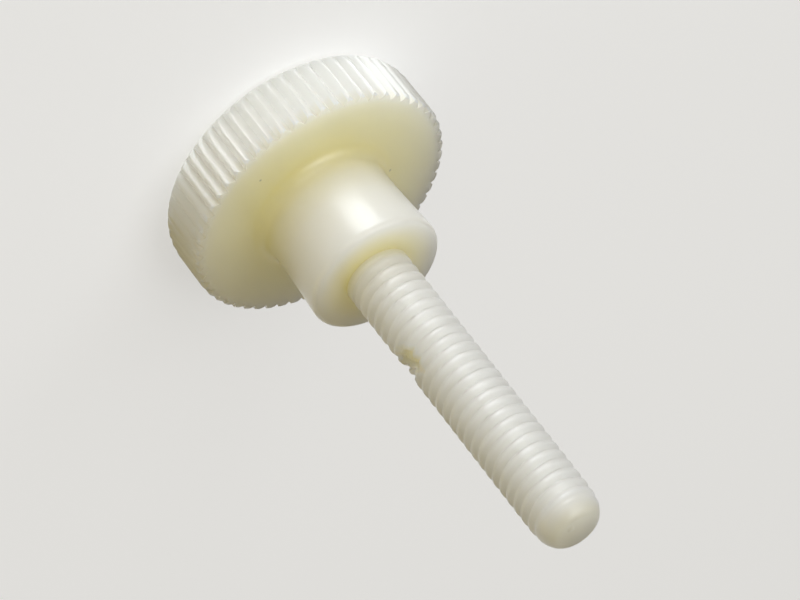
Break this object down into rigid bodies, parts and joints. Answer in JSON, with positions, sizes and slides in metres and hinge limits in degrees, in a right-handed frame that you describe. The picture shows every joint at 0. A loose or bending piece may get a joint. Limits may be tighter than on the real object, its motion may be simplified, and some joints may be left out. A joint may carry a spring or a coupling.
{
  "type": "thumb screw",
  "caption": "One-piece moulded thumb screw: a straight-knurled disc head with a collar under it and a fully threaded shank with a rounded point, turned by hand without a tool.",
  "frame": {"origin": "centre of the head's flat face, on which the screw stands", "axes": "+Z along the screw's axis from the head to the point; +X and +Y are across it, and only the knurl, the thread and a small nick have a direction round the axis"},
  "size_m": [0.016, 0.016, 0.0297],
  "materials": {
    "nylon": "natural undyed nylon as moulded: milky translucent ivory, semi-gloss, thin edges whiter and thick or shaded places more yellow"
  },
  "bodies": {
    "root": {"thumb_screw": "nylon"}
  },
  "joints": []
}
